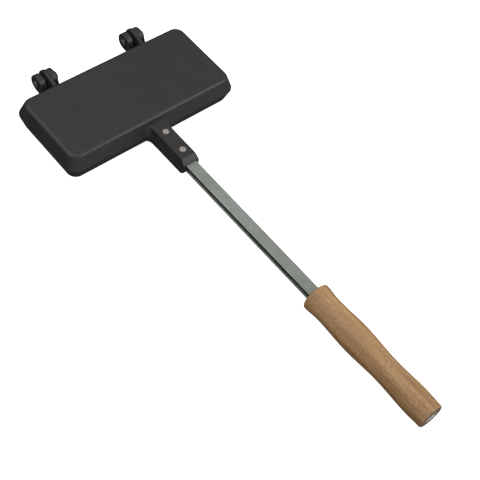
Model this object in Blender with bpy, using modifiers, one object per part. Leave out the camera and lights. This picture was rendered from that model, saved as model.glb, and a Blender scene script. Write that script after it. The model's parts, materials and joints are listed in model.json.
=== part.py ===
"""Long-handled cast-iron waffle iron: two hinged plates, two flat bars and a split wooden grip.

Metres, +Z up. The origin is the centre of the face that the closed iron rests on, the handle runs
along -Y and the hinges are at the +Y side. Each half is drawn in its own half frame, whose XY plane
is the parting plane and whose +Z points out of the iron, and is then set in place by a matrix.
"""
from math import acos, atan2, cos, hypot, pi, sin, tan

import bmesh
import bpy
from mathutils import Matrix, Vector

# ---- driving dimensions -------------------------------------------------------------------
GAP = 0.0003                    # between touching pieces
PARTING_GAP = 0.0003            # between the two castings when closed
OVERRUN = 0.001                 # how far a cutter runs past the face it opens
NEAR = 0.0001                   # slack when edges and corners are picked by their place

PLATE_LENGTH = 0.2508           # along X, at the parting plane
PLATE_DEPTH = 0.1210            # along Y, at the parting plane
HALF_HEIGHT = 0.020             # of one casting
WALL_LEAN = 0.0062              # how far the wall leans in over HALF_HEIGHT
CORNER_BEVEL = 0.012            # rounding of the upright corners
EDGE_BEVEL = 0.0038             # rounding around the outer face
RIM_WIDTH = 0.0055              # land around the cavity
FLOOR_THICKNESS = 0.0045
CAVITY_LEAN = 0.0044
CAVITY_CORNER = 0.011

PEG_COLUMNS, PEG_ROWS = 11, 5
PEG_PITCH = 0.0202
PEG_HEIGHT = 0.0092
PEG_FOOT, PEG_TIP = 0.0130, 0.0094

TANG_END = -0.1270              # Y of the far end
TANG_TOP = 0.0130               # height over the parting plane
TANG_FOOT_HALF = 0.0124         # half widths at the parting plane and at the top
TANG_TOP_HALF = 0.0102
TANG_FILLET = 0.0100            # radius in plan where the tang meets the plate
TANG_FILLET_SINK = 0.0004       # how far a fillet's end and the tang's root reach into the wall
TANG_ROOT = 0.0060
TANG_CHAMFER = 0.0065

BAR_WIDTH = 0.0150
BAR_THICKNESS = 0.0030
BAR_OUTER = 0.0054              # outer face over the parting plane
BAR_START, BAR_END = -0.0620, -0.5372
BAR_EDGE = 0.0003               # bevel along its edges

RIVET_PLACES = (-0.0760, -0.1090)
RIVET_SHANK = 0.0025            # radii
RIVET_HEAD = 0.0043
RIVET_TAIL = 0.0040
RIVET_HEAD_HEIGHT = 0.0024
RIVET_TAIL_HEIGHT = 0.0012
RIVET_TAIL_BEVEL = 0.0005

GRIP_START, GRIP_LENGTH = -0.3515, 0.1857
GRIP_SPLIT = 0.0005             # flat face of a grip half over the parting plane
GRIP_STATIONS = (               # distance from the near end, radius: ends, waists and swells
    (0.0000, 0.01810), (0.0235, 0.01645), (0.0665, 0.01785),
    (0.1175, 0.01565), (0.1625, 0.01710), (0.1857, 0.01640))
GRIP_END_ROUND = 0.0022
GRIP_RINGS = 5                  # rings between two stations

GRIP_SCREW_PLACES = (-0.3760, -0.5080)
SCREW_SHANK = 0.0019
SCREW_HEAD = 0.0037
SCREW_LENGTH = 0.0120
SCREW_POINT = 0.0015

HINGE_X = 0.0667                # hinge centres at +X and -X
HINGE_Y, HINGE_Z = 0.0810, 0.0025   # bolt axis, over the parting plane
EAR_RADIUS = 0.0117             # knuckles of the lower half's two ears
LEFT_EAR = (-0.0138, -0.0056)   # X of each ear's faces, from the hinge's centre
RIGHT_EAR = (0.0040, 0.0118)
EAR_SLOPE = 1.15                # angle of an ear's front, radians
EAR_FOOT = 0.0035               # its foot, below the parting plane
ARM_RADIUS = 0.0132             # knuckle of the upper half's arm, between the ears
ARM = (-0.0016, 0.0036)         # X of its faces
ARM_TOP = 0.0090                # height over the parting plane where it leaves the wall
ARM_TOP_ROOT = 0.0050           # how far its top reaches into the wall
ARM_FOOT = (0.0010, 0.0009)     # where its underside starts: out from the wall, over the parting plane
LUG_ROOT = 0.0040               # how far a lug reaches into the wall

BOLT_RADIUS = 0.0030
BOLT_HOLE = 0.0033
BOLT_HEAD_RADIUS = 0.0046
BOLT_HEAD_CROWN = ((1.0, 0.0008), (0.87, 0.0016), (0.55, 0.0022))   # share of the radius, height
BOLT_STICK_OUT = 0.0008         # past the nut
BOLT_TIP_BEVEL = 0.0006
NUT_POCKET_RADIUS = 0.0070      # counterbore in the ear at +X
NUT_POCKET_DEPTH = 0.0030
NUT_ACROSS_FLATS = 0.0100
NUT_HEIGHT = 0.0050
WASHER_RADIUS = 0.0060
WASHER_THICKNESS = 0.0012

ROUND = 24                      # sides of a round piece
HALVES = {
    "upper": Matrix.Translation((0, 0, HALF_HEIGHT)),
    "lower": Matrix.Translation((0, 0, HALF_HEIGHT)) @ Matrix.Rotation(pi, 4, "Y"),
}
HINGE_SIDES = {"left": -1, "right": 1}


# ---- scene, materials and small helpers ---------------------------------------------------
def clear_scene():
    for old in list(bpy.data.objects):
        bpy.data.objects.remove(old, do_unlink=True)


def new_collection(name):
    collection = bpy.data.collections.new(name)
    bpy.context.scene.collection.children.link(collection)
    return collection


def new_material(name, colour, roughness, metallic):
    material = bpy.data.materials.new(name)
    material.use_nodes = True
    material.diffuse_color = (*colour, 1)
    shader = material.node_tree.nodes["Principled BSDF"]
    shader.inputs["Base Color"].default_value = (*colour, 1)
    shader.inputs["Roughness"].default_value = roughness
    shader.inputs["Metallic"].default_value = metallic
    return material


def add_piece(name, mesh, matrix, material=None):
    """A named part when it has a material, otherwise a hidden cutting or joining body."""
    piece = bpy.data.objects.new(name, mesh)
    piece.matrix_world = matrix
    if material is None:
        cutters.objects.link(piece)
        piece.hide_render = True
        piece.display_type = "WIRE"
    else:
        parts.objects.link(piece)
        mesh.materials.clear()
        mesh.materials.append(material)
    return piece


def mesh_from(name, work):
    mesh = bpy.data.meshes.new(name)
    work.to_mesh(mesh)
    work.free()
    return mesh


def combine(piece, other, operation):
    step = piece.modifiers.new(f"{operation.lower()} {other.name}", "BOOLEAN")
    step.operation = operation
    step.solver = "EXACT"
    step.object = other


def block(low, high):
    """A box between two corners."""
    work = bmesh.new()
    centre = (Vector(low) + Vector(high)) / 2
    size = Vector(high) - Vector(low)
    matrix = Matrix.Translation(centre) @ Matrix.Diagonal((*size, 1))
    bmesh.ops.create_cube(work, size=1, matrix=matrix)
    return work


def cylinder(radius, depth, matrix, sides=ROUND):
    work = bmesh.new()
    bmesh.ops.create_cone(work, cap_ends=True, segments=sides, radius1=radius, radius2=radius,
                          depth=depth, matrix=matrix)
    return work


def lean_in(work, from_height, distance):
    """Moves what is above a height towards the middle, so that upright walls get their draft."""
    for vert in work.verts:
        if vert.co.z > from_height:
            vert.co.x -= distance if vert.co.x > 0 else -distance
            vert.co.y -= distance if vert.co.y > 0 else -distance


def bevel_edges(work, chosen, offset, segments):
    edges = [edge for edge in work.edges if chosen(edge)]
    bmesh.ops.bevel(work, geom=edges, offset=offset, segments=segments, profile=0.5,
                    affect="EDGES", offset_type="OFFSET")


def is_upright(edge):
    return abs(edge.verts[0].co.z - edge.verts[1].co.z) > 0.001


def outline_mesh(name, points, low, high):
    """A flat outline from a 2D curve, drawn in XY and extruded from low to high along Z."""
    curve = bpy.data.curves.new(name, "CURVE")
    curve.dimensions = "2D"
    curve.fill_mode = "BOTH"
    curve.extrude = (high - low) / 2
    spline = curve.splines.new("POLY")
    spline.points.add(len(points) - 1)
    for spot, point in zip(spline.points, points):
        spot.co = (*point, 0, 1)
    spline.use_cyclic_u = True
    guide = bpy.data.objects.new(name, curve)
    bpy.context.scene.collection.objects.link(guide)
    depsgraph = bpy.context.evaluated_depsgraph_get()
    mesh = bpy.data.meshes.new_from_object(guide.evaluated_get(depsgraph))
    bpy.data.objects.remove(guide)
    work = bmesh.new()
    work.from_mesh(mesh)
    bmesh.ops.remove_doubles(work, verts=work.verts, dist=0.00001)
    bmesh.ops.translate(work, verts=work.verts, vec=(0, 0, (low + high) / 2))
    bmesh.ops.recalc_face_normals(work, faces=work.faces)
    work.to_mesh(mesh)
    work.free()
    return mesh


def arc(centre, radius, start, end, steps):
    """Points on an arc, from one angle to another, both ends included."""
    angles = [start + (end - start) * step / steps for step in range(steps + 1)]
    return [(centre[0] + radius * cos(a), centre[1] + radius * sin(a)) for a in angles]


def turned_piece(name, profile, matrix, material, steps=ROUND):
    """Turns (radius, height) points, given from top to bottom, about the local Z axis."""
    work = bmesh.new()
    verts = [work.verts.new((radius, 0, height)) for radius, height in profile]
    for upper, lower in zip(verts, verts[1:]):
        work.edges.new((upper, lower))
    piece = add_piece(name, mesh_from(name, work), matrix, material)
    screw = piece.modifiers.new("turn", "SCREW")
    screw.axis = "Z"
    screw.steps = steps
    screw.render_steps = steps
    screw.use_merge_vertices = True
    screw.merge_threshold = 0.00001
    screw.use_smooth_shade = True
    return piece


def ride_on(piece, carrier):
    if carrier is not None:
        piece.parent = carrier
        piece.matrix_parent_inverse = carrier.matrix_world.inverted()


# ---- castings -----------------------------------------------------------------------------
def casting_body():
    """The plain outside of one half: leaning walls, round corners and a rounded outer edge."""
    half_x, half_y = PLATE_LENGTH / 2, PLATE_DEPTH / 2
    work = block((-half_x, -half_y, PARTING_GAP / 2), (half_x, half_y, HALF_HEIGHT))
    lean_in(work, HALF_HEIGHT / 2, WALL_LEAN)
    bevel_edges(work, is_upright, CORNER_BEVEL, 7)
    at_top = HALF_HEIGHT - NEAR
    bevel_edges(work, lambda e: all(v.co.z > at_top for v in e.verts), EDGE_BEVEL, 4)
    return work


def cavity_cutter():
    """The cooking hollow, open at the parting plane."""
    half_x = PLATE_LENGTH / 2 - RIM_WIDTH
    half_y = PLATE_DEPTH / 2 - RIM_WIDTH
    floor = HALF_HEIGHT - FLOOR_THICKNESS
    work = block((-half_x, -half_y, 0), (half_x, half_y, floor))
    lean_in(work, floor / 2, CAVITY_LEAN)
    bevel_edges(work, is_upright, CAVITY_CORNER, 4)
    for vert in work.verts:             # carries the walls on past the parting plane
        if vert.co.z < floor / 2:
            vert.co.z = -OVERRUN
    return work


def peg_grid():
    """Square pegs with leaning sides, standing on the cavity floor."""
    floor = HALF_HEIGHT - FLOOR_THICKNESS
    work = bmesh.new()
    lean = (PEG_FOOT - PEG_TIP) / 2
    for column in range(PEG_COLUMNS):
        for row in range(PEG_ROWS):
            x = (column - (PEG_COLUMNS - 1) / 2) * PEG_PITCH
            y = (row - (PEG_ROWS - 1) / 2) * PEG_PITCH
            height = PEG_HEIGHT + FLOOR_THICKNESS / 2
            matrix = (Matrix.Translation((x, y, floor - PEG_HEIGHT + height / 2))
                      @ Matrix.Diagonal((PEG_FOOT, PEG_FOOT, height, 1)))
            peg = bmesh.ops.create_cube(work, size=1, matrix=matrix)["verts"]
            for vert in peg:
                if vert.co.z < floor - PEG_HEIGHT / 2:
                    vert.co.x -= lean if vert.co.x > x else -lean
                    vert.co.y -= lean if vert.co.y > y else -lean
    return work


def tang_mesh():
    """The cast tang that holds the bar: drafted sides, filleted root and a chamfered far end."""
    root = -PLATE_DEPTH / 2 + TANG_ROOT
    fillet_y = -PLATE_DEPTH / 2 - TANG_FILLET + TANG_FILLET_SINK
    right = arc((TANG_FOOT_HALF + TANG_FILLET, fillet_y), TANG_FILLET, pi, pi / 2, 6)
    outline = [(TANG_FOOT_HALF, TANG_END)] + right + [(right[-1][0], root)]
    outline += [(-x, y) for x, y in reversed(outline)]
    mesh = outline_mesh("tang outline", outline, PARTING_GAP / 2, TANG_TOP)
    work = bmesh.new()
    work.from_mesh(mesh)
    for vert in work.verts:
        if vert.co.z > TANG_TOP / 2:
            vert.co.x *= TANG_TOP_HALF / TANG_FOOT_HALF
            if vert.co.y > fillet_y - NEAR:       # the fillets follow the leaning wall
                vert.co.y += WALL_LEAN * TANG_TOP / HALF_HEIGHT
    far_edge = [e for e in work.edges
                if all(v.co.z > TANG_TOP - NEAR and v.co.y < TANG_END + NEAR for v in e.verts)]
    bmesh.ops.bevel(work, geom=far_edge, offset=TANG_CHAMFER, segments=1, affect="EDGES")
    work.to_mesh(mesh)
    work.free()
    return mesh


def tangent_angle(point, centre, radius, side):
    """Angle on a circle, seen from its centre, where a line from a point touches it."""
    away_y, away_z = point[0] - centre[0], point[1] - centre[1]
    angle = atan2(away_z, away_y) + side * acos(radius / hypot(away_y, away_z))
    return (angle + pi) % (2 * pi) - pi


def ear_outline():
    """Side view (Y, Z) in the lower half frame: level underneath, a steep front up to the knuckle."""
    root = PLATE_DEPTH / 2 - LUG_ROOT
    centre = (HINGE_Y, -HINGE_Z)
    knuckle = arc(centre, EAR_RADIUS, pi / 2, -pi / 2 - EAR_SLOPE, 16)
    front_y, front_z = knuckle[-1]
    elbow = (front_y - (EAR_FOOT - front_z) / tan(EAR_SLOPE), EAR_FOOT)
    return [(root, EAR_RADIUS - HINGE_Z)] + knuckle + [elbow, (root, EAR_FOOT)]


def arm_outline():
    """Side view (Y, Z) in the upper half frame: an arm from the wall to the knuckle."""
    wall = PLATE_DEPTH / 2
    centre = (HINGE_Y, HINGE_Z)
    top = (wall - ARM_TOP_ROOT, ARM_TOP)
    foot = (wall + ARM_FOOT[0], ARM_FOOT[1])
    start = tangent_angle(top, centre, ARM_RADIUS, -1)
    end = tangent_angle(foot, centre, ARM_RADIUS, 1)
    return [top] + arc(centre, ARM_RADIUS, start, end, 14) + [foot, (wall - LUG_ROOT, foot[1])]


def lug_mesh(name, outline, low, high):
    """Extrudes a side view in (Y, Z) along X."""
    mesh = outline_mesh(name, outline, low, high)
    mesh.transform(Matrix(((0, 0, 1, 0), (1, 0, 0, 0), (0, 1, 0, 0), (0, 0, 0, 1))))
    return mesh


def hinge_lugs(half):
    """Two ears a hinge on the lower half, whose frame mirrors X, and an arm on the upper one."""
    for side, sign in HINGE_SIDES.items():
        centre = sign * HINGE_X
        if half == "upper":
            yield lug_mesh(f"arm {side}", arm_outline(), centre + ARM[0], centre + ARM[1])
            continue
        for place, (low, high) in (("left", LEFT_EAR), ("right", RIGHT_EAR)):
            yield lug_mesh(f"{place} ear of hinge {side}", ear_outline(), -centre - high, -centre - low)


def cut_nut_pockets(plate):
    """A counterbore in the +X face of each hinge, for the washer and the nut."""
    for side, sign in HINGE_SIDES.items():
        middle = sign * HINGE_X + RIGHT_EAR[1]
        place = (Matrix.Translation((middle, HINGE_Y, HALF_HEIGHT + HINGE_Z))
                 @ Matrix.Rotation(pi / 2, 4, "Y"))
        pocket = mesh_from("nut pocket", cylinder(NUT_POCKET_RADIUS, 2 * NUT_POCKET_DEPTH, place))
        combine(plate, add_piece(f"nut pocket {side}", pocket, Matrix()), "DIFFERENCE")


def make_casting(half, carrier):
    matrix = HALVES[half]
    plate = add_piece(f"{half}_plate", mesh_from(f"{half}_plate", casting_body()), matrix, cast_iron)
    combine(plate, add_piece(f"{half} tang", tang_mesh(), matrix), "UNION")
    for lug in hinge_lugs(half):
        combine(plate, add_piece(lug.name, lug, matrix), "UNION")
    cavity = add_piece(f"{half} cavity", mesh_from("cavity", cavity_cutter()), matrix)
    combine(plate, cavity, "DIFFERENCE")
    combine(plate, add_piece(f"{half} pegs", mesh_from("pegs", peg_grid()), matrix), "UNION")

    groove_half = BAR_WIDTH / 2 + GAP
    groove = block((-groove_half, TANG_END - OVERRUN, -OVERRUN),
                   (groove_half, BAR_START + GAP, BAR_OUTER + GAP))
    combine(plate, add_piece(f"{half} bar groove", mesh_from("groove", groove), matrix), "DIFFERENCE")
    for number, y in enumerate(RIVET_PLACES, 1):
        hole = cylinder(RIVET_SHANK + GAP, TANG_TOP * 2, Matrix.Translation((0, y, TANG_TOP)), 16)
        cutter = add_piece(f"{half} rivet hole {number}", mesh_from("rivet hole", hole), matrix)
        combine(plate, cutter, "DIFFERENCE")
    axis_z = HINGE_Z if half == "upper" else -HINGE_Z
    along_x = Matrix.Translation((0, HINGE_Y, axis_z)) @ Matrix.Rotation(pi / 2, 4, "Y")
    bore = cylinder(BOLT_HOLE, PLATE_LENGTH, along_x)
    combine(plate, add_piece(f"{half} bolt bore", mesh_from("bolt bore", bore), matrix), "DIFFERENCE")
    if half == "lower":
        cut_nut_pockets(plate)
    ride_on(plate, carrier)


# ---- handle -------------------------------------------------------------------------------
def make_bar(half, carrier):
    matrix = HALVES[half]
    inner = BAR_OUTER - BAR_THICKNESS
    work = block((-BAR_WIDTH / 2, BAR_END, inner), (BAR_WIDTH / 2, BAR_START, BAR_OUTER))
    bmesh.ops.bevel(work, geom=list(work.edges), offset=BAR_EDGE, segments=1, affect="EDGES")
    bar = add_piece(f"{half}_bar", mesh_from(f"{half}_bar", work), matrix, zinc_steel)
    for number, y in enumerate(RIVET_PLACES, 1):
        hole = cylinder(RIVET_SHANK + GAP, 2 * BAR_OUTER, Matrix.Translation((0, y, BAR_OUTER)), 16)
        cutter = add_piece(f"{half} bar rivet hole {number}", mesh_from("hole", hole), matrix)
        combine(bar, cutter, "DIFFERENCE")
    for number, y in enumerate(GRIP_SCREW_PLACES, 1):
        hole = countersunk_profile(SCREW_SHANK + GAP, SCREW_HEAD + GAP, OVERRUN, 2 * BAR_THICKNESS)
        place = matrix @ Matrix.Translation((0, y, inner)) @ Matrix.Rotation(pi, 4, "X")
        cutter = turned_piece(f"{half} screw hole {number}", hole, place, None, 16)
        combine(bar, cutter, "DIFFERENCE")
    ride_on(bar, carrier)


def countersunk_profile(shank, head, above, length):
    """(radius, height) from top to bottom, with the head's top face at height 0."""
    return [(0, above), (head, above), (head, 0), (shank, shank - head), (shank, -length), (0, -length)]


def make_rivet(half, number, y, carrier):
    """A domed head on the tang and a low formed tail against the bar's inner face."""
    head_base = TANG_TOP + GAP / 2
    tail_top = BAR_OUTER - BAR_THICKNESS - GAP / 2
    dome = [(RIVET_HEAD * sin(a), head_base + RIVET_HEAD_HEIGHT * cos(a))
            for a in (pi / 2 * step / 6 for step in range(7))]
    dome[0] = (0, head_base + RIVET_HEAD_HEIGHT)
    tail_low = tail_top - RIVET_TAIL_HEIGHT
    profile = dome + [(RIVET_SHANK, head_base), (RIVET_SHANK, tail_top), (RIVET_TAIL, tail_top),
                      (RIVET_TAIL - RIVET_TAIL_BEVEL, tail_low), (0, tail_low)]
    matrix = HALVES[half] @ Matrix.Translation((0, y, 0))
    rivet = turned_piece(f"{half}_rivet_{number}", profile, matrix, rivet_steel, 20)
    ride_on(rivet, carrier)


def grip_radius(along):
    """Radius at a distance from the near end: eases from one station to the next."""
    for (start, first), (end, second) in zip(GRIP_STATIONS, GRIP_STATIONS[1:]):
        if along <= end:
            ease = (1 - cos(pi * (along - start) / (end - start))) / 2
            return first + (second - first) * ease
    return GRIP_STATIONS[-1][1]


def grip_profile():
    """(radius, distance) of the turned grip, with rounded ends, from the near to the far end."""
    body = [0.0]
    for (start, _), (end, _) in zip(GRIP_STATIONS, GRIP_STATIONS[1:]):
        body += [start + (end - start) * ring / GRIP_RINGS for ring in range(1, GRIP_RINGS + 1)]
    inner = [a for a in body if GRIP_END_ROUND < a < GRIP_LENGTH - GRIP_END_ROUND]
    points = [(0, 0)]
    for angle in (0, pi / 6, pi / 3, pi / 2):
        along = GRIP_END_ROUND * (1 - cos(angle))
        points.append((grip_radius(GRIP_END_ROUND) - GRIP_END_ROUND * (1 - sin(angle)), along))
    points += [(grip_radius(along), along) for along in inner]
    far = GRIP_LENGTH - GRIP_END_ROUND
    for angle in (pi / 2, pi / 3, pi / 6, 0):
        along = far + GRIP_END_ROUND * cos(angle)
        points.append((grip_radius(far) - GRIP_END_ROUND * (1 - sin(angle)), along))
    return points + [(0, GRIP_LENGTH)]


def make_grip(half, carrier):
    """Half of a turned wooden handle, with a groove in its flat face for the bar."""
    matrix = HALVES[half]
    along_bar = Matrix.Translation((0, GRIP_START, 0)) @ Matrix.Rotation(pi / 2, 4, "X")
    grip = turned_piece(f"{half}_grip", list(reversed(grip_profile())), matrix @ along_bar, beech, 32)
    grip_end, beyond = GRIP_START - GRIP_LENGTH, 2 * GRIP_STATIONS[0][1]
    split = block((-beyond, grip_end - 2 * OVERRUN, -beyond),
                  (beyond, GRIP_START + 2 * OVERRUN, GRIP_SPLIT))
    combine(grip, add_piece(f"{half} grip split", mesh_from("split", split), matrix), "DIFFERENCE")
    groove_half = BAR_WIDTH / 2 + GAP
    groove = block((-groove_half, grip_end - OVERRUN, -OVERRUN),
                   (groove_half, GRIP_START + OVERRUN, BAR_OUTER + GAP))
    combine(grip, add_piece(f"{half} grip groove", mesh_from("groove", groove), matrix), "DIFFERENCE")
    for number, y in enumerate(GRIP_SCREW_PLACES, 1):
        depth = SCREW_LENGTH + GAP
        hole = cylinder(SCREW_SHANK + GAP, depth,
                        Matrix.Translation((0, y, BAR_OUTER - BAR_THICKNESS + depth / 2)), 16)
        cutter = add_piece(f"{half} grip screw hole {number}", mesh_from("hole", hole), matrix)
        combine(grip, cutter, "DIFFERENCE")
    ride_on(grip, carrier)


def make_grip_screw(half, number, y, carrier):
    """A countersunk wood screw, driven outwards through the bar into the wood."""
    profile = [(0, 0), (SCREW_HEAD, 0), (SCREW_SHANK, SCREW_SHANK - SCREW_HEAD),
               (SCREW_SHANK, SCREW_POINT - SCREW_LENGTH), (0, GAP - SCREW_LENGTH)]
    place = (HALVES[half] @ Matrix.Translation((0, y, BAR_OUTER - BAR_THICKNESS))
             @ Matrix.Rotation(pi, 4, "X"))
    screw = turned_piece(f"{half}_grip_screw_{number}", profile, place, screw_steel, 16)
    ride_on(screw, carrier)


# ---- hinge fasteners ----------------------------------------------------------------------
def ring_piece(name, outer, sides, low, high, matrix, material):
    """A washer or a nut: a prism along the bolt with a clear hole for it."""
    middle = Matrix.Translation((0, 0, (low + high) / 2))
    piece = add_piece(name, mesh_from(name, cylinder(outer, high - low, middle, sides)), matrix, material)
    hole = mesh_from("hole", cylinder(BOLT_HOLE, high - low + 2 * OVERRUN, middle))
    combine(piece, add_piece(f"{name} hole", hole, matrix), "DIFFERENCE")


def make_hinge(side, sign):
    """From -X to +X: low domed bolt head, ear, arm, ear, and the washer and nut in its pocket."""
    centre = Matrix.Translation((sign * HINGE_X, HINGE_Y, HALF_HEIGHT + HINGE_Z))
    along_x = centre @ Matrix.Rotation(pi / 2, 4, "Y")      # local +Z points along +X
    washer_start = RIGHT_EAR[1] - NUT_POCKET_DEPTH + GAP
    nut_start = washer_start + WASHER_THICKNESS + GAP
    nut_end = nut_start + NUT_HEIGHT
    ring_piece(f"hinge_washer_{side}", WASHER_RADIUS, ROUND, washer_start,
               washer_start + WASHER_THICKNESS, along_x, nut_steel)
    ring_piece(f"hinge_nut_{side}", NUT_ACROSS_FLATS / 2 / cos(pi / 6), 6, nut_start, nut_end,
               along_x, nut_steel)
    head_base = LEFT_EAR[0] - GAP
    crown = [(BOLT_HEAD_RADIUS * share, head_base - height) for share, height in BOLT_HEAD_CROWN]
    tip = nut_end + BOLT_STICK_OUT
    profile = [(0, tip), (BOLT_RADIUS - BOLT_TIP_BEVEL, tip), (BOLT_RADIUS, tip - BOLT_TIP_BEVEL),
               (BOLT_RADIUS, head_base), (BOLT_HEAD_RADIUS, head_base)] + crown + [(0, crown[-1][1])]
    turned_piece(f"hinge_bolt_{side}", profile, along_x, bolt_steel)


# ---- the whole object ---------------------------------------------------------------------
clear_scene()
parts = new_collection("waffle_iron")
cutters = new_collection("cutters")

cast_iron = new_material("cast iron", (0.040, 0.040, 0.041), 0.55, 0.6)
zinc_steel = new_material("zinc-plated steel", (0.46, 0.47, 0.43), 0.35, 1.0)
beech = new_material("beech", (0.36, 0.23, 0.13), 0.6, 0.0)
rivet_steel = new_material("rivet steel", (0.62, 0.60, 0.58), 0.35, 1.0)
screw_steel = new_material("screw steel", (0.50, 0.49, 0.46), 0.4, 1.0)
bolt_steel = new_material("bright bolt steel", (0.55, 0.54, 0.52), 0.35, 1.0)
nut_steel = new_material("blackened steel", (0.06, 0.06, 0.06), 0.45, 0.8)

hinge_axis = bpy.data.objects.new("hinge_axis", None)
hinge_axis.location = (0, HINGE_Y, HALF_HEIGHT + HINGE_Z)
parts.objects.link(hinge_axis)
bpy.context.view_layer.update()

for half_name, rides_on in (("lower", None), ("upper", hinge_axis)):
    make_casting(half_name, rides_on)
    make_bar(half_name, rides_on)
    make_grip(half_name, rides_on)
    for index, rivet_y in enumerate(RIVET_PLACES, 1):
        make_rivet(half_name, index, rivet_y, rides_on)
    for index, screw_y in enumerate(GRIP_SCREW_PLACES, 1):
        make_grip_screw(half_name, index, screw_y, rides_on)
for side_name, side_sign in HINGE_SIDES.items():
    make_hinge(side_name, side_sign)
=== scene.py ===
# Long-handled cast-iron waffle iron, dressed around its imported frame.
# Metres, +Z up. The handle runs along -Y, the hinges are at +Y, and the halves meet at partingZ.
import json
from math import acos, atan2, cos, pi, radians, sin, tan

import bmesh
import bpy
from mathutils import Matrix, Vector

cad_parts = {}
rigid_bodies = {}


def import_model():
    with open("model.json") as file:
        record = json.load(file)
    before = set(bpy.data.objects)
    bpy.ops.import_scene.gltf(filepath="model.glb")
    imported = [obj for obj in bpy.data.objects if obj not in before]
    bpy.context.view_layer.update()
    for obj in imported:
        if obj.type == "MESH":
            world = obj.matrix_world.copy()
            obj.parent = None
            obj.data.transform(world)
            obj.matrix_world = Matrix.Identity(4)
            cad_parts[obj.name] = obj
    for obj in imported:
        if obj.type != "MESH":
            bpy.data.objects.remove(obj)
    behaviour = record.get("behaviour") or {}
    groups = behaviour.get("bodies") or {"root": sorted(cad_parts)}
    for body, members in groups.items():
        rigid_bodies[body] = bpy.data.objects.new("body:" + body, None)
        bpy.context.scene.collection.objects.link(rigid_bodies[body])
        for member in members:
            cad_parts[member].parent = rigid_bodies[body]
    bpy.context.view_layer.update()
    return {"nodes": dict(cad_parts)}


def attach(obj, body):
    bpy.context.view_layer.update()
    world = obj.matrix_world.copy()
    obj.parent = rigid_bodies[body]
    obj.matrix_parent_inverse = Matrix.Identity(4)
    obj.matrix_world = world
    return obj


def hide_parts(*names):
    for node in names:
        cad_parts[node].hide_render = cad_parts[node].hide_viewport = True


for leftover in list(bpy.data.objects):
    bpy.data.objects.remove(leftover, do_unlink=True)

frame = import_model()
bpy.ops.object.select_all(action="DESELECT")

partingZ = 0.020
clearance = 0.0003  # between touching pieces
overrun = 0.001     # how far a cutter runs past the face it opens
near = 0.0001       # slack when edges and corners are picked by their place
print("frame loaded:", len(frame["nodes"]), "nodes")


# picking and editing
def pick(piece):
    if bpy.context.mode != "OBJECT":
        bpy.ops.object.mode_set(mode="OBJECT")
    bpy.ops.object.select_all(action="DESELECT")
    piece.select_set(True)
    bpy.context.view_layer.objects.active = piece


def startEdit(piece):
    pick(piece)
    bpy.ops.object.mode_set(mode="EDIT")
    bpy.ops.mesh.select_mode(type="VERT")
    bpy.ops.mesh.select_all(action="DESELECT")


def chooseEdges(piece, wanted):
    bpy.ops.mesh.select_mode(type="EDGE")
    bpy.ops.mesh.select_all(action="DESELECT")
    cage = bmesh.from_edit_mesh(piece.data)
    for edge in cage.edges:
        if wanted(*[vert.co for vert in edge.verts]):
            edge.select_set(True)
    bmesh.update_edit_mesh(piece.data)


def chooseVerts(piece, wanted):
    bpy.ops.mesh.select_mode(type="VERT")
    bpy.ops.mesh.select_all(action="DESELECT")
    cage = bmesh.from_edit_mesh(piece.data)
    for vert in cage.verts:
        vert.select_set(wanted(vert.co))
    cage.select_flush_mode()
    bmesh.update_edit_mesh(piece.data)


def endEdit(piece):
    bpy.ops.mesh.select_mode(type="VERT")
    bpy.ops.mesh.select_all(action="SELECT")
    bpy.ops.mesh.remove_doubles(threshold=0.000005)
    bpy.ops.mesh.normals_make_consistent(inside=False)
    bpy.ops.object.mode_set(mode="OBJECT")


def applyModifier(piece, kind, **settings):
    step = piece.modifiers.new(kind.lower(), kind)
    for name, value in settings.items():
        setattr(step, name, value)
    pick(piece)
    bpy.ops.object.modifier_apply(modifier=step.name)


def combine(piece, other, operation):
    applyModifier(piece, "BOOLEAN", operation=operation, object=other)
    bpy.data.objects.remove(other)


def turnOver(piece):
    # from the upper half to the lower half: half a turn about Y at the parting plane
    startEdit(piece)
    bpy.ops.mesh.select_all(action="SELECT")
    bpy.ops.transform.rotate(value=pi, orient_axis="Y", center_override=(0, 0, partingZ))
    bpy.ops.object.mode_set(mode="OBJECT")


def inHalf(piece, half):
    if half == "lower":
        turnOver(piece)
    return piece


def newBlock(name, low, high):
    centre = (Vector(low) + Vector(high)) / 2
    bpy.ops.mesh.primitive_cube_add(size=1, location=centre)
    block = bpy.context.object
    block.name = name
    block.scale = Vector(high) - Vector(low)
    bpy.ops.object.transform_apply(location=True, rotation=True, scale=True)
    return block


def newRod(name, radius, start, end, axis="Z", sides=48):
    start, end = Vector(start), Vector(end)
    turn = {"X": (0, pi / 2, 0), "Y": (pi / 2, 0, 0), "Z": (0, 0, 0)}[axis]
    bpy.ops.mesh.primitive_cylinder_add(vertices=sides, radius=radius, depth=(end - start).length,
                                        location=(start + end) / 2, rotation=turn)
    rod = bpy.context.object
    rod.name = name
    bpy.ops.object.transform_apply(location=True, rotation=True, scale=True)
    return rod


def drawnLine(name, spots):
    # one vertex, extruded from corner to corner
    bpy.ops.mesh.primitive_plane_add(size=0.001, location=spots[0])
    piece = bpy.context.object
    piece.name = name
    bpy.ops.object.transform_apply(location=True, rotation=True, scale=True)
    bpy.ops.object.mode_set(mode="EDIT")
    bpy.ops.mesh.select_all(action="SELECT")
    bpy.ops.mesh.merge(type="CENTER")
    for here, there in zip(spots, spots[1:]):
        bpy.ops.mesh.extrude_region_move(TRANSFORM_OT_translate={"value": there - here})
    bpy.ops.mesh.select_all(action="SELECT")
    return piece


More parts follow.
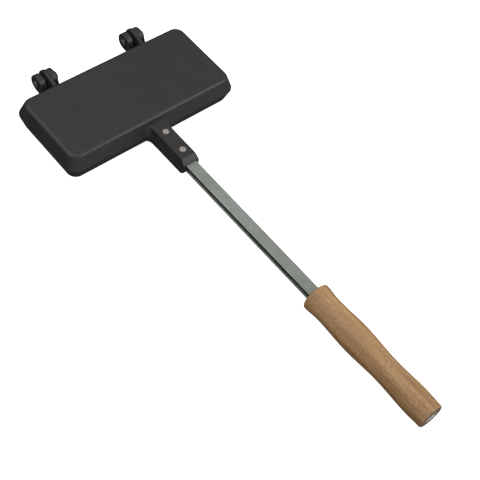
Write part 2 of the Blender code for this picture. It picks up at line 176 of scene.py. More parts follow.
def drawnPlate(name, outline, low, high, across):
    # a flat outline, filled and pulled to its thickness: YZ points across X, or XY points across Z
    if across == "X":
        spots = [Vector((low, *point)) for point in outline]
        pull = Vector((high - low, 0, 0))
    else:
        spots = [Vector((*point, low)) for point in outline]
        pull = Vector((0, 0, high - low))
    piece = drawnLine(name, spots)
    bpy.ops.mesh.edge_face_add()
    bpy.ops.mesh.extrude_region_move(TRANSFORM_OT_translate={"value": pull})
    endEdit(piece)
    return piece


def turned(name, profile, centre, axis, steps=48):
    # (radius, along) points, spun round an axis through the centre
    side = Vector((0, 1, 0)) if axis == "X" else Vector((1, 0, 0))
    way = Vector([float(letter == axis) for letter in "XYZ"])
    centre = Vector(centre)
    piece = drawnLine(name, [centre + side * radius + way * along for radius, along in profile])
    bpy.ops.mesh.spin(steps=steps, angle=2 * pi, center=centre, axis=way)
    endEdit(piece)
    return piece


def arc(centre, radius, start, end, steps):
    angles = [start + (end - start) * step / steps for step in range(steps + 1)]
    return [(centre[0] + radius * cos(angle), centre[1] + radius * sin(angle)) for angle in angles]


def smoothOver(piece, angle=32):
    pick(piece)
    bpy.ops.object.shade_smooth_by_angle(angle=radians(angle))
    applyModifier(piece, "WEIGHTED_NORMAL", keep_sharp=True)


def dress(piece, node, slot, body, *finishes):
    # clearing the material slots resets the faces, so each face's choice is put back afterwards
    chosen = [face.material_index for face in piece.data.polygons]
    piece.data.materials.clear()
    for finish in finishes:
        piece.data.materials.append(finish)
    piece.data.polygons.foreach_set("material_index", [min(i, len(finishes) - 1) for i in chosen])
    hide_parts(node)
    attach(piece, body)


# materials
def linear(hexColour):
    channels = [int(hexColour[i:i + 2], 16) / 255 for i in (1, 3, 5)]
    return (*[c / 12.92 if c <= 0.04045 else ((c + 0.055) / 1.055) ** 2.4 for c in channels], 1)


def addNode(tree, kind, settings=None, **links):
    # settings name the node's own properties, or its inputs; links are inputs fed by other nodes
    node = tree.nodes.new("ShaderNode" + kind)
    for name, value in (settings or {}).items():
        if hasattr(node, name):
            setattr(node, name, value)
        else:
            node.inputs[name].default_value = value
    for name, source in links.items():
        place = int(name[2:]) if name.startswith("at") else name
        tree.links.new(source, node.inputs[place])
    return node


def newFinish(name, roughness, metallic, colour=None):
    finish = bpy.data.materials.new(name)
    finish.use_nodes = True
    shader = finish.node_tree.nodes["Principled BSDF"]
    shader.inputs["Roughness"].default_value = roughness
    shader.inputs["Metallic"].default_value = metallic
    if colour:
        shader.inputs["Base Color"].default_value = linear(colour)
    return finish, finish.node_tree, shader


def ramp(tree, source, *stops):
    node = addNode(tree, "ValToRGB", None, Fac=source)
    band = node.color_ramp
    while len(band.elements) < len(stops):
        band.elements.new(0.5)
    for element, (place, colour) in zip(band.elements, stops):
        element.position = place
        element.color = linear(colour) if isinstance(colour, str) else (colour, colour, colour, 1)
    return node.outputs["Color"]


def blended(tree, fac, first, second, mode="MIX"):
    node = addNode(tree, "Mix", {"data_type": "RGBA", "blend_type": mode})
    for value, place in ((fac, 0), (first, 6), (second, 7)):
        if isinstance(value, bpy.types.NodeSocket):
            tree.links.new(value, node.inputs[place])
        elif isinstance(value, str):
            node.inputs[place].default_value = linear(value)
        else:
            node.inputs[place].default_value = value
    return node.outputs[2]


def perMillimetre(size):
    # a noise or voronoi scale whose cells are about this many millimetres across
    return 1000 / size


def castIron(name, light, dark, rust):
    # Grey iron, sand cast, seasoned with baked oil: near black, a dull sheen and a fine sandy skin.
    finish, tree, shader = newFinish(name, 0.5, 0.0)
    place = addNode(tree, "TexCoord").outputs["Object"]
    cloud = addNode(tree, "TexNoise", {"Scale": perMillimetre(24), "Detail": 4}, Vector=place)
    speck = addNode(tree, "TexNoise", {"Scale": perMillimetre(1.3), "Detail": 3, "Roughness": 0.65},
                    Vector=place)
    base = ramp(tree, cloud.outputs["Fac"], (0.3, dark), (0.7, light))
    base = blended(tree, 0.6, base, ramp(tree, speck.outputs["Fac"], (0.35, 0.12), (0.7, 0.88)), "OVERLAY")
    if rust:
        stain = addNode(tree, "TexNoise", {"Scale": perMillimetre(6), "Detail": 6}, Vector=place)
        base = blended(tree, ramp(tree, stain.outputs["Fac"], (0.35, 0.0), (0.65, 0.8)), base, rust)
    # sand grain is about 0.4 mm: drawn at 1.2 mm so that it shows at all
    sand = addNode(tree, "TexNoise", {"Scale": perMillimetre(1.2), "Detail": 4, "Roughness": 0.62},
                   Vector=place)
    swell = addNode(tree, "TexNoise", {"Scale": perMillimetre(22), "Detail": 2}, Vector=place)
    low = addNode(tree, "Bump", {"Strength": 0.2, "Distance": 0.0004}, Height=swell.outputs["Fac"])
    bump = addNode(tree, "Bump", {"Strength": 0.75, "Distance": 0.00026}, Height=sand.outputs["Fac"],
                   Normal=low.outputs["Normal"])
    tree.links.new(base, shader.inputs["Base Color"])
    tree.links.new(ramp(tree, speck.outputs["Fac"], (0.3, 0.38), (0.75, 0.58)), shader.inputs["Roughness"])
    tree.links.new(bump.outputs["Normal"], shader.inputs["Normal"])
    return finish


def platedSteel():
    # Flat bar, zinc plated and passivated: satin, faintly green, with drawing lines and handling marks.
    finish, tree, shader = newFinish("zincPlatedSteel", 0.4, 1.0)
    place = addNode(tree, "TexCoord").outputs["Object"]
    alongBar = addNode(tree, "Mapping", {"Scale": (1, 0.03, 1)}, Vector=place)
    lines = addNode(tree, "TexNoise", {"Scale": perMillimetre(1.1), "Detail": 3},
                    Vector=alongBar.outputs[0])
    marks = addNode(tree, "TexNoise", {"Scale": perMillimetre(13), "Detail": 5, "Roughness": 0.6},
                    Vector=place)
    wipe = addNode(tree, "TexNoise", {"Scale": perMillimetre(60), "Detail": 2}, Vector=place)
    base = ramp(tree, wipe.outputs["Fac"], (0.35, "#9ca298"), (0.65, "#b0b6b0"))
    base = blended(tree, ramp(tree, marks.outputs["Fac"], (0.52, 0.0), (0.68, 0.55)), base, "#83867a")
    base = blended(tree, 0.2, base, ramp(tree, lines.outputs["Fac"], (0.35, 0.3), (0.65, 0.7)), "OVERLAY")
    bump = addNode(tree, "Bump", {"Strength": 0.25, "Distance": 0.0001}, Height=lines.outputs["Fac"])
    tree.links.new(base, shader.inputs["Base Color"])
    tree.links.new(ramp(tree, marks.outputs["Fac"], (0.4, 0.34), (0.65, 0.5)), shader.inputs["Roughness"])
    tree.links.new(bump.outputs["Normal"], shader.inputs["Normal"])
    return finish


def oiledBeech():
    # Beech, turned and oiled: warm mid brown, long soft growth rings, and short dark rays along the grain.
    finish, tree, shader = newFinish("oiledBeech", 0.55, 0.0)
    place = addNode(tree, "TexCoord").outputs["Object"]
    grain = addNode(tree, "Mapping", {"Location": (0.031, 0, 0.017), "Scale": (1, 0.06, 1)}, Vector=place)
    broad = addNode(tree, "TexNoise", {"Scale": perMillimetre(9), "Detail": 3}, Vector=grain.outputs[0])
    rings = addNode(tree, "TexWave", {"wave_type": "RINGS", "rings_direction": "Y", "Scale": 75,
                                      "Distortion": 2.2, "Detail": 3, "Detail Scale": 1.4},
                    Vector=grain.outputs[0])
    fibre = addNode(tree, "TexNoise", {"Scale": perMillimetre(1.2), "Detail": 3}, Vector=grain.outputs[0])
    # rays are 0.1 mm by 2 mm: drawn four times as thick so that they show
    rayPlace = addNode(tree, "Mapping", {"Scale": (1, 0.3, 1)}, Vector=place)
    rays = addNode(tree, "TexNoise", {"Scale": perMillimetre(0.9), "Detail": 2, "Roughness": 0.5},
                   Vector=rayPlace.outputs[0])
    base = ramp(tree, broad.outputs["Fac"], (0.3, "#957049"), (0.5, "#a98358"), (0.72, "#b99468"))
    base = blended(tree, 0.16, base, ramp(tree, rings.outputs["Fac"], (0.2, 0.3), (0.8, 0.66)), "OVERLAY")
    base = blended(tree, 0.35, base, ramp(tree, fibre.outputs["Fac"], (0.3, 0.34), (0.7, 0.66)), "OVERLAY")
    base = blended(tree, ramp(tree, rays.outputs["Fac"], (0.52, 0.0), (0.64, 0.7)), base, "#7d5a3a")
    # the sawn ends soak up more oil and handling dirt
    facing = addNode(tree, "SeparateXYZ", None, Vector=addNode(tree, "TexCoord").outputs["Normal"])
    endFace = addNode(tree, "Math", {"operation": "ABSOLUTE"}, at0=facing.outputs["Y"])
    dots = addNode(tree, "TexNoise", {"Scale": perMillimetre(0.9), "Detail": 2}, Vector=place)
    endColour = ramp(tree, dots.outputs["Fac"], (0.4, "#66523f"), (0.6, "#7f6b58"))
    base = blended(tree, ramp(tree, endFace.outputs[0], (0.8, 0.0), (0.97, 1.0)), base, endColour)
    bump = addNode(tree, "Bump", {"Strength": 0.25, "Distance": 0.00015}, Height=fibre.outputs["Fac"])
    tree.links.new(base, shader.inputs["Base Color"])
    tree.links.new(ramp(tree, broad.outputs["Fac"], (0.3, 0.52), (0.7, 0.4)), shader.inputs["Roughness"])
    tree.links.new(bump.outputs["Normal"], shader.inputs["Normal"])
    return finish


def wornSteel(name, light, dark, roughness, metallic, cell):
    # Fasteners: tumbled or blackened steel with handling marks, a few millimetres across.
    finish, tree, shader = newFinish(name, roughness, metallic)
    place = addNode(tree, "TexCoord").outputs["Object"]
    marks = addNode(tree, "TexNoise", {"Scale": perMillimetre(cell), "Detail": 5}, Vector=place)
    base = ramp(tree, marks.outputs["Fac"], (0.35, dark), (0.62, light))
    tree.links.new(base, shader.inputs["Base Color"])
    rough = ramp(tree, marks.outputs["Fac"], (0.3, roughness + 0.15), (0.7, roughness))
    tree.links.new(rough, shader.inputs["Roughness"])
    bump = addNode(tree, "Bump", {"Strength": 0.3, "Distance": 0.0001}, Height=marks.outputs["Fac"])
    tree.links.new(bump.outputs["Normal"], shader.inputs["Normal"])
    return finish


seasonedIron = castIron("seasonedCastIron", "#2c2a29", "#262423", None)
rustyIron = castIron("bareIronWithRust", "#2c2a29", "#242322", "#332a25")
zincSteel = platedSteel()
beech = oiledBeech()
rivetSteel = wornSteel("tumbledRivetSteel", "#aaa59e", "#8a857f", 0.5, 0.45, 2)
boltSteel = wornSteel("wornBoltSteel", "#8a8885", "#5c5a58", 0.4, 0.8, 2.5)
blackSteel = wornSteel("blackenedSteel", "#2a2a2b", "#1d1d1e", 0.45, 0.5, 3)
sawnSteel = wornSteel("sawnBarEnd", "#e4e2dc", "#c4c1b9", 0.55, 0.15, 2)
screwSteel = wornSteel("zincScrewSteel", "#b5b3aa", "#96948b", 0.4, 0.9, 2)
print("finishes made")

# the two castings
plate = {
    "length": 0.2508, "depth": 0.1210, "height": 0.020, "lean": 0.0062,
    "cornerRound": 0.012, "edgeRound": 0.0038, "lipRound": 0.0013, "partingGap": 0.0003,
    "rim": 0.0055, "floor": 0.0045, "tangLip": 0.8,
    "cavityLean": 0.0044, "cavityCorner": 0.011, "cavityRound": 0.0018,
}
pegs = {"columns": 11, "rows": 5, "pitch": 0.0202, "height": 0.0092, "foot": 0.0130, "tip": 0.0094,
        "corner": 0.0012, "round": 0.0007}
tang = {"end": -0.1270, "top": 0.0130, "footHalf": 0.0124, "topHalf": 0.0102, "fillet": 0.0100,
        "filletSink": 0.0004, "root": 0.0060, "chamfer": 0.0065, "round": 0.0006}
bar = {"width": 0.0150, "thickness": 0.0030, "outer": 0.0054, "start": -0.0620, "end": -0.5372,
       "round": 0.0004}
rivet = {"places": (-0.0760, -0.1090), "shank": 0.0025, "head": 0.0043, "headHeight": 0.0024,
         "headEdge": 0.0004, "tail": 0.0040, "tailHeight": 0.0012, "tailEdge": 0.0005}
hinge = {
    "sides": {"left": -0.0667, "right": 0.0667}, "y": 0.0810, "z": 0.0225,
    "earRadius": 0.0117, "ears": ((-0.0138, -0.0056), (0.0040, 0.0118)),
    "earSlope": 1.15, "earFoot": 0.0035,
    "armRadius": 0.0131, "arm": (-0.0016, 0.0036), "armTop": 0.0090, "armFoot": (0.0615, 0.0009),
    "root": 0.0565, "armRoot": 0.0555, "squareRoot": 0.0030, "round": 0.0011,
    "rustReach": 0.0050, "rustFrom": 0.0715,
    "bore": 0.0033, "boreReach": 0.0200, "pocketRadius": 0.0070, "pocketDepth": 0.0030,
}


def leanTop(piece, topZ, scaleX, scaleY):
    chooseVerts(piece, lambda co: co.z > topZ - near)
    bpy.ops.transform.resize(value=(scaleX, scaleY, 1), center_override=(0, 0, topZ))


def bevelled(piece, wanted, offset, segments):
    chooseEdges(piece, wanted)
    bpy.ops.mesh.bevel(offset=offset, segments=segments, profile=0.5, affect="EDGES")


def castingBlank(name):
    # drafted walls, round corners, a soft outer edge and a small radius along the parting line
    low = partingZ + plate["partingGap"] / 2
    top = partingZ + plate["height"]
    halfX, halfY = plate["length"] / 2, plate["depth"] / 2
    blank = newBlock(name, (-halfX, -halfY, low), (halfX, halfY, top))
    startEdit(blank)
    leanTop(blank, top, 1 - plate["lean"] / halfX, 1 - plate["lean"] / halfY)
    bevelled(blank, lambda a, b: abs(a.z - b.z) > 0.001, plate["cornerRound"], 14)
    bevelled(blank, lambda a, b: min(a.z, b.z) > top - near, plate["edgeRound"], 8)
    bevelled(blank, lambda a, b: max(a.z, b.z) < low + near, plate["lipRound"], 3)
    endEdit(blank)
    return blank


def castTang():
    # fillets that follow the leaning wall, drafted sides and a chamfered far end
    filletY = -plate["depth"] / 2 - tang["fillet"] + tang["filletSink"]
    side = arc((tang["footHalf"] + tang["fillet"], filletY), tang["fillet"], pi, pi / 2, 14)
    outline = [(tang["footHalf"], tang["end"])] + side + [(side[-1][0], -plate["depth"] / 2 + tang["root"])]
    outline += [(-x, y) for x, y in reversed(outline)]
    low, top = partingZ + plate["partingGap"] / 2, partingZ + tang["top"]
    piece = drawnPlate("tangBody", outline, low, top, "Z")
    startEdit(piece)
    leanTop(piece, top, tang["topHalf"] / tang["footHalf"], 1)
    chooseVerts(piece, lambda co: co.z > top - near and co.y > filletY - near)
    bpy.ops.transform.translate(value=(0, plate["lean"] * tang["top"] / plate["height"], 0))
    bevelled(piece, lambda a, b: min(a.z, b.z) > top - near and max(a.y, b.y) < tang["end"] + near,
             tang["chamfer"], 1)
    nearRoot = -plate["depth"] / 2 - overrun
    # only the long edges, across the tang and along it: the fillets' short ones stay sharp
    bevelled(piece, lambda a, b: min(a.z, b.z) > low + 2 * near and min(a.y, b.y) < nearRoot
             and (abs(a.x - b.x) > 0.015 or abs(a.x) < tang["footHalf"] and abs(a.y - b.y) > 0.01),
             tang["round"], 3)
    bevelled(piece, lambda a, b: max(a.z, b.z) < low + near and max(a.y, b.y) < nearRoot,
             plate["lipRound"] * plate["tangLip"], 3)
    endEdit(piece)
    return piece


def waffleHollow():
    top = partingZ + plate["height"] - plate["floor"]
    halfX, halfY = plate["length"] / 2 - plate["rim"], plate["depth"] / 2 - plate["rim"]
    hollow = newBlock("hollow", (-halfX, -halfY, partingZ), (halfX, halfY, top))
    startEdit(hollow)
    leanTop(hollow, top, 1 - plate["cavityLean"] / halfX, 1 - plate["cavityLean"] / halfY)
    bevelled(hollow, lambda a, b: abs(a.z - b.z) > 0.001, plate["cavityCorner"], 8)
    bevelled(hollow, lambda a, b: min(a.z, b.z) > top - near, plate["cavityRound"], 4)
    chooseVerts(hollow, lambda co: co.z < partingZ + near)
    bpy.ops.transform.translate(value=(0, 0, -overrun))
    endEdit(hollow)
    return hollow


def wafflePegs():
    # one drafted peg with soft edges, repeated in both directions
    floorZ = partingZ + plate["height"] - plate["floor"]
    tipZ, rootZ = floorZ - pegs["height"], floorZ + plate["floor"] / 2
    startX = -(pegs["columns"] - 1) / 2 * pegs["pitch"]
    startY = -(pegs["rows"] - 1) / 2 * pegs["pitch"]
    half = pegs["foot"] / 2
    peg = newBlock("pegs", (startX - half, startY - half, tipZ), (startX + half, startY + half, rootZ))
    startEdit(peg)
    chooseVerts(peg, lambda co: co.z < tipZ + near)
    shrink = pegs["tip"] / pegs["foot"]
    bpy.ops.transform.resize(value=(shrink, shrink, 1), center_override=(startX, startY, tipZ))
    bevelled(peg, lambda a, b: abs(a.z - b.z) > 0.001, pegs["corner"], 3)
    bevelled(peg, lambda a, b: max(a.z, b.z) < tipZ + near, pegs["round"], 2)
    endEdit(peg)
    for count, offset in ((pegs["columns"], (pegs["pitch"], 0, 0)), (pegs["rows"], (0, pegs["pitch"], 0))):
        applyModifier(peg, "ARRAY", count=count, use_relative_offset=False, use_constant_offset=True,
                      constant_offset_displace=offset)
    return peg


def roundedLug(name, outline, low, high):
    lug = drawnPlate(name, outline, low, high, "X")
    startEdit(lug)
    softFrom = hinge["root"] + hinge["squareRoot"]  # the root inside the shell stays square
    bevelled(lug, lambda a, b: abs(a.x - b.x) < 0.00001 and max(a.y, b.y) > softFrom,
             hinge["round"], 4)
    endEdit(lug)
    return lug


def earOutline():
    # level underneath, then round the knuckle and steeply down its front to the foot
    y, z, radius, slope = hinge["y"], hinge["z"], hinge["earRadius"], hinge["earSlope"]
    knuckle = arc((y, z), radius, -pi / 2, pi / 2 + slope, 30)
    footZ = partingZ - hinge["earFoot"]
    elbow = (knuckle[-1][0] - (knuckle[-1][1] - footZ) / tan(slope), footZ)
    return [(hinge["root"], z - radius)] + knuckle + [elbow, (hinge["root"], footZ)]


def touchAngle(spot, centre, radius, side):
    # where a line from the spot touches the circle, as an angle at its centre
    away = Vector(spot) - Vector(centre)
    angle = atan2(away.y, away.x) + side * acos(radius / away.length)
    return (angle + pi) % (2 * pi) - pi


def armOutline():
    # from the upper wall, over the top of the knuckle and back under it
    centre, radius = (hinge["y"], hinge["z"]), hinge["armRadius"]
    top = (hinge["armRoot"], partingZ + hinge["armTop"])
    foot = (hinge["armFoot"][0], partingZ + hinge["armFoot"][1])
    start, end = touchAngle(top, centre, radius, -1), touchAngle(foot, centre, radius, 1)
    knuckle = arc(centre, radius, start, end, 30)
    return [top] + knuckle + [foot, (hinge["root"], foot[1])]


def makeCasting(half):
    casting = castingBlank(half + "Casting")
    combine(casting, castTang(), "UNION")
    inHalf(casting, half)
    for side, centre in hinge["sides"].items():
        if half == "upper":
            low, high = hinge["arm"]
            combine(casting, roundedLug("arm", armOutline(), centre + low, centre + high), "UNION")
            continue
        for low, high in hinge["ears"]:
            combine(casting, roundedLug("ear", earOutline(), centre + low, centre + high), "UNION")
    combine(casting, inHalf(waffleHollow(), half), "DIFFERENCE")
    combine(casting, inHalf(wafflePegs(), half), "UNION")
    grooveHalf = bar["width"] / 2 + clearance
    groove = newBlock("groove", (-grooveHalf, tang["end"] - overrun, partingZ - overrun),
                      (grooveHalf, bar["start"] + clearance, partingZ + bar["outer"] + clearance))
    combine(casting, inHalf(groove, half), "DIFFERENCE")
    for y in rivet["places"]:
        holeEnd = partingZ + plate["height"]
        hole = newRod("hole", rivet["shank"] + clearance, (0, y, partingZ), (0, y, holeEnd))
        combine(casting, inHalf(hole, half), "DIFFERENCE")
    for centre in hinge["sides"].values():
        y, z = hinge["y"], hinge["z"]
        low, high = centre - hinge["boreReach"], centre + hinge["boreReach"]
        bore = newRod("bore", hinge["bore"], (low, y, z), (high, y, z), "X")
        combine(casting, bore, "DIFFERENCE")
        if half == "lower":
            face = centre + hinge["ears"][1][1]
            pocket = newRod("pocket", hinge["pocketRadius"], (face - hinge["pocketDepth"], y, z),
                            (face + 5 * overrun, y, z), "X")
            combine(casting, pocket, "DIFFERENCE")
    return casting


def rustOnArms(casting):
    # the arms' knuckles rub against the ears, so their -X faces stay bare and rust a little
    for face in casting.data.polygons:
        centre = face.center
        nearHinge = min(abs(centre.x - middle) for middle in hinge["sides"].values()) < hinge["rustReach"]
        if nearHinge and centre.y > hinge["rustFrom"] and face.normal.x < -0.3:
            face.material_index = 1


for half in ("lower", "upper"):
    casting = makeCasting(half)
    dress(casting, half + "_plate", "cast_iron", half + "_half", seasonedIron, rustyIron)
    if half == "upper":
        rustOnArms(casting)
    smoothOver(casting)
    print(half, "casting:", len(casting.data.polygons), "faces")


# handle: two bars and the split grip
grip = {
    "start": -0.3515, "length": 0.1857, "split": 0.0005, "endRound": 0.0022, "rings": 9, "edge": 0.0005,
    "stations": ((0.0000, 0.01810), (0.0235, 0.01645), (0.0665, 0.01785),
                 (0.1175, 0.01565), (0.1625, 0.01710), (0.1857, 0.01640)),
}
screw = {"places": (-0.3760, -0.5080), "shank": 0.0019, "head": 0.0037, "headEdge": 0.0003,
         "length": 0.0120, "point": 0.0015, "slot": 0.0008, "slotDepth": 0.0009}


def gripRadius(along):
    for (start, first), (end, second) in zip(grip["stations"], grip["stations"][1:]):
        if along <= end:
            ease = (1 - cos(pi * (along - start) / (end - start))) / 2
            return first + (second - first) * ease
    return grip["stations"][-1][1]


def gripProfile():
    edge, length = grip["endRound"], grip["length"]
    spots = [0.0]
    for (start, _), (end, _) in zip(grip["stations"], grip["stations"][1:]):
        spots += [start + (end - start) * ring / grip["rings"] for ring in range(1, grip["rings"] + 1)]
    turns = [pi / 2 * step / 6 for step in range(7)]
    nearEnd = [(gripRadius(edge) - edge * (1 - sin(turn)), edge * (1 - cos(turn))) for turn in turns]
    far = [(gripRadius(length - edge) - edge * (1 - sin(turn)), length - edge * (1 - cos(turn)))
           for turn in reversed(turns)]
    inside = 1.2 * edge     # keeps the rings clear of the rounded ends
    body = [(gripRadius(along), along) for along in spots if inside < along < length - inside]
    return [(0, 0)] + nearEnd + body + far + [(0, length)]


def makeGrip(half):
    profile = [(radius, -along) for radius, along in gripProfile()]
    piece = turned(half + "Grip", profile, (0, grip["start"], partingZ), "Y", 80)
    startEdit(piece)
    bpy.ops.mesh.select_all(action="SELECT")
    bpy.ops.mesh.bisect(plane_co=(0, 0, partingZ + grip["split"]), plane_no=(0, 0, 1),
                        use_fill=True, clear_inner=True)
    endEdit(piece)
    grooveHalf = bar["width"] / 2 + clearance
    farEnd = grip["start"] - grip["length"] - 10 * overrun
    groove = newBlock("groove", (-grooveHalf, farEnd, partingZ - overrun),
                      (grooveHalf, grip["start"] + 10 * overrun, partingZ + bar["outer"] + clearance))
    combine(piece, groove, "DIFFERENCE")
    inner = partingZ + bar["outer"] - bar["thickness"]
    for y in screw["places"]:
        holeEnd = inner + screw["length"] + clearance
        hole = newRod("hole", screw["shank"] + clearance, (0, y, inner), (0, y, holeEnd))
        combine(piece, hole, "DIFFERENCE")
    applyModifier(piece, "BEVEL", width=grip["edge"], segments=2, limit_method="ANGLE",
                  angle_limit=radians(50), use_clamp_overlap=True)
    return inHalf(piece, half)


def makeBar(half):
    inner, outer = partingZ + bar["outer"] - bar["thickness"], partingZ + bar["outer"]
    halfWide = bar["width"] / 2
    piece = newBlock(half + "Bar", (-halfWide, bar["end"], inner), (halfWide, bar["start"], outer))
    startEdit(piece)
    bevelled(piece, lambda a, b: True, bar["round"], 3)
    endEdit(piece)
    for y in rivet["places"]:
        hole = newRod("hole", rivet["shank"] + clearance, (0, y, inner - 10 * overrun),
                      (0, y, outer + 10 * overrun), sides=32)
        combine(piece, hole, "DIFFERENCE")
    for y in screw["places"]:
        sink, shank = screw["head"] + clearance, screw["shank"] + clearance
        through = 2 * bar["thickness"]
        profile = [(0, -overrun), (sink, -overrun), (sink, 0), (shank, sink - shank),
                   (shank, through), (0, through)]
        combine(piece, turned("sink", profile, (0, y, inner), "Z", 32), "DIFFERENCE")
    for face in piece.data.polygons:    # the sawn end, flush with the grip's, shows bare steel
        face.material_index = int(face.normal.y < -0.9 and face.center.y < bar["end"] + 2 * near)
    return inHalf(piece, half)


def makeRivet(half, number, y):
    headBase = tang["top"] + clearance / 2
    tailTop = bar["outer"] - bar["thickness"] - clearance / 2
    dome = [(rivet["head"] * sin(turn), headBase + rivet["headHeight"] * cos(turn))
            for turn in (pi / 2 * step / 9 for step in range(10))]
    dome[0] = (0, headBase + rivet["headHeight"])
    tailLow = tailTop - rivet["tailHeight"]
    profile = dome + [(rivet["head"] - rivet["headEdge"], headBase), (rivet["shank"], headBase),
                      (rivet["shank"], tailTop), (rivet["tail"], tailTop),
                      (rivet["tail"] - rivet["tailEdge"], tailLow), (0, tailLow)]
    return inHalf(turned(f"{half}Rivet{number}", profile, (0, y, partingZ), "Z", 40), half)


def makeScrew(half, number, y):
    # a slotted countersunk wood screw, driven from the parting side out into the wood
    inner = partingZ + bar["outer"] - bar["thickness"]
    head, shank, length = screw["head"], screw["shank"], screw["length"]
    profile = [(0, 0), (head - 2 * near, 0), (head, screw["headEdge"]), (shank, head - shank + near),
               (shank, length - screw["point"]), (0, length - clearance)]
    piece = turned(f"{half}GripScrew{number}", profile, (0, y, inner), "Z", 32)
    wide = screw["slot"] / 2
    slot = newBlock("slot", (-head, y - wide, inner - overrun),
                    (head, y + wide, inner + screw["slotDepth"]))
    combine(piece, slot, "DIFFERENCE")
    return inHalf(piece, half)


for half in ("lower", "upper"):
    body = half + "_half"
    for name, make, slot, finishes in (("bar", makeBar, "bar_steel", (zincSteel, sawnSteel)),
                                       ("grip", makeGrip, "grip_wood", (beech,))):
        piece = make(half)
        dress(piece, f"{half}_{name}", slot, body, *finishes)
        smoothOver(piece)
    for name, make, places, slot, finish in (
            ("rivet", makeRivet, rivet["places"], "rivet_steel", rivetSteel),
            ("grip_screw", makeScrew, screw["places"], "screw_steel", screwSteel)):
        for number, y in enumerate(places, 1):
            piece = make(half, number, y)
            dress(piece, f"{half}_{name}_{number}", slot, body, finish)
            smoothOver(piece, 40)
    print(half, "handle done")

# hinge fasteners, from the bolt head at -X to the nut at +X
bolt = {"radius": 0.0030, "head": 0.0046, "headHeight": 0.0022, "headEdge": 0.0008, "stickOut": 0.0008,
        "tipBevel": 0.0006, "washer": 0.0060, "washerThick": 0.0012, "washerBevel": 0.0002,
        "nutHalf": 0.0050, "nutHeight": 0.0050, "nutBevel": 0.0006}


def ringProfile(inner, outer, low, high, chamfer):
    return [(inner, low), (outer - chamfer, low), (outer, low + chamfer), (outer, high - chamfer),
            (outer - chamfer, high), (inner, high), (inner, low)]


def makeHinge(side, centre):
    y, z = hinge["y"], hinge["z"]
    place = (centre, y, z)
    hole = bolt["radius"] + clearance
    washerStart = hinge["ears"][1][1] - hinge["pocketDepth"] + clearance
    nutStart = washerStart + bolt["washerThick"] + clearance
    nutEnd = nutStart + bolt["nutHeight"]
    washer = turned("hingeWasher" + side, ringProfile(hole, bolt["washer"], washerStart,
                    washerStart + bolt["washerThick"], bolt["washerBevel"]), place, "X", 40)
    dress(washer, "hinge_washer_" + side.lower(), "black_steel", "lower_half", blackSteel)
    smoothOver(washer)

    corner = bolt["nutHalf"] / cos(pi / 6)
    nut = newRod("hingeNut" + side, corner, (centre + nutStart, y, z), (centre + nutEnd, y, z), "X", 6)
    crown = turned("crown", ringProfile(hole, corner, nutStart, nutEnd, bolt["nutBevel"]), place, "X", 48)
    combine(nut, crown, "INTERSECT")
    dress(nut, "hinge_nut_" + side.lower(), "black_steel", "lower_half", blackSteel)
    smoothOver(nut, 25)

    base = hinge["ears"][0][0] - clearance
    edge, rise = bolt["headEdge"], bolt["headHeight"] - bolt["headEdge"]
    tip, radius, head = nutEnd + bolt["stickOut"], bolt["radius"], bolt["head"]
    dome = [(head * cos(turn), base - edge - rise * sin(turn))
            for turn in (pi / 2 * step / 8 for step in range(9))]
    dome[-1] = (0, base - bolt["headHeight"])
    profile = [(0, tip), (radius - bolt["tipBevel"], tip), (radius, tip - bolt["tipBevel"]),
               (radius, base), (head, base)] + dome
    piece = turned("hingeBolt" + side, profile, place, "X", 40)
    dress(piece, "hinge_bolt_" + side.lower(), "bolt_steel", "lower_half", boltSteel)
    smoothOver(piece, 40)


for side, centre in hinge["sides"].items():
    makeHinge(side.capitalize(), centre)
print("hinges done")


# studio: a pale floor that throws no light back, a surround that is bright above and towards the
# handle, and three soft boxes
studio = {"floorSize": 60, "floor": "#f4f4f2", "floorGlow": 0.92, "brightSide": (0.0, -0.6, 0.8),
          "darkest": 0.055, "brightest": 0.62, "keyPower": 8, "ridgePower": 8, "backPower": 3}

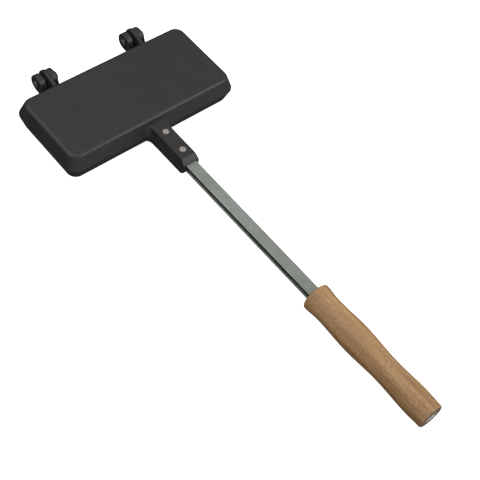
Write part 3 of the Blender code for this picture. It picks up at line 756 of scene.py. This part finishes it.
bpy.ops.mesh.primitive_plane_add(size=studio["floorSize"], location=(0, -0.2, -0.0005))
floor = bpy.context.object
floor.name = "studioFloor"
floorPaint, _, floorShader = newFinish("matteSweep", 0.9, 0.0, studio["floor"])
floorShader.inputs["Emission Color"].default_value = (1, 1, 1, 1)
floorShader.inputs["Emission Strength"].default_value = studio["floorGlow"]
floor.data.materials.append(floorPaint)
floor.visible_diffuse = False
floor.visible_glossy = False

world = bpy.data.worlds.new("brightOverhead")
world.use_nodes = True
sky = world.node_tree
towards = addNode(sky, "VectorMath", {"operation": "DOT_PRODUCT"},
                  at0=addNode(sky, "TexCoord").outputs["Generated"])
towards.inputs[1].default_value = studio["brightSide"]
glow = addNode(sky, "MapRange", {"From Min": -0.6, "From Max": 0.5, "To Min": studio["darkest"],
                                 "To Max": studio["brightest"]}, Value=towards.outputs["Value"])
sky.nodes["Background"].inputs["Color"].default_value = (1, 1, 1, 1)
sky.links.new(glow.outputs["Result"], sky.nodes["Background"].inputs["Strength"])
bpy.context.scene.world = world


def softLight(name, size, power, place, target):
    bpy.ops.object.light_add(type="AREA", location=place)
    light = bpy.context.object
    light.name = name
    light.data.shape = "SQUARE"
    light.data.size = size
    light.data.energy = power
    light.rotation_euler = (Vector(target) - Vector(place)).to_track_quat("-Z", "Y").to_euler()


softLight("keyBox", 1.0, studio["keyPower"], (-0.5, 0.5, 1.6), (0, -0.1, 0))
softLight("ridgeBox", 0.5, studio["ridgePower"], (0.75, -1.05, 0.95), (0, -0.1, 0))
softLight("backBox", 0.8, studio["backPower"], (-1.2, 0.7, 0.9), (0, -0.1, 0))

# from above, at the handle's left, rolled so that the handle runs down to the right
view = {"place": (-0.5768, -0.7148, 1.0306), "target": (-0.0208, -0.2444, 0.02), "roll": 12.16,
        "lens": 81.3, "sensor": 36}
bpy.ops.object.camera_add(location=view["place"])
camera = bpy.context.object
camera.name = "camera"
camera.data.lens = view["lens"]
camera.data.sensor_width = view["sensor"]
sight = (Vector(view["target"]) - Vector(view["place"])).to_track_quat("-Z", "Y")
camera.rotation_euler = (sight.to_matrix() @ Matrix.Rotation(radians(view["roll"]), 3, "Z")).to_euler()
bpy.context.scene.camera = camera
bpy.context.scene.view_settings.view_transform = "Standard"

print("studio ready")
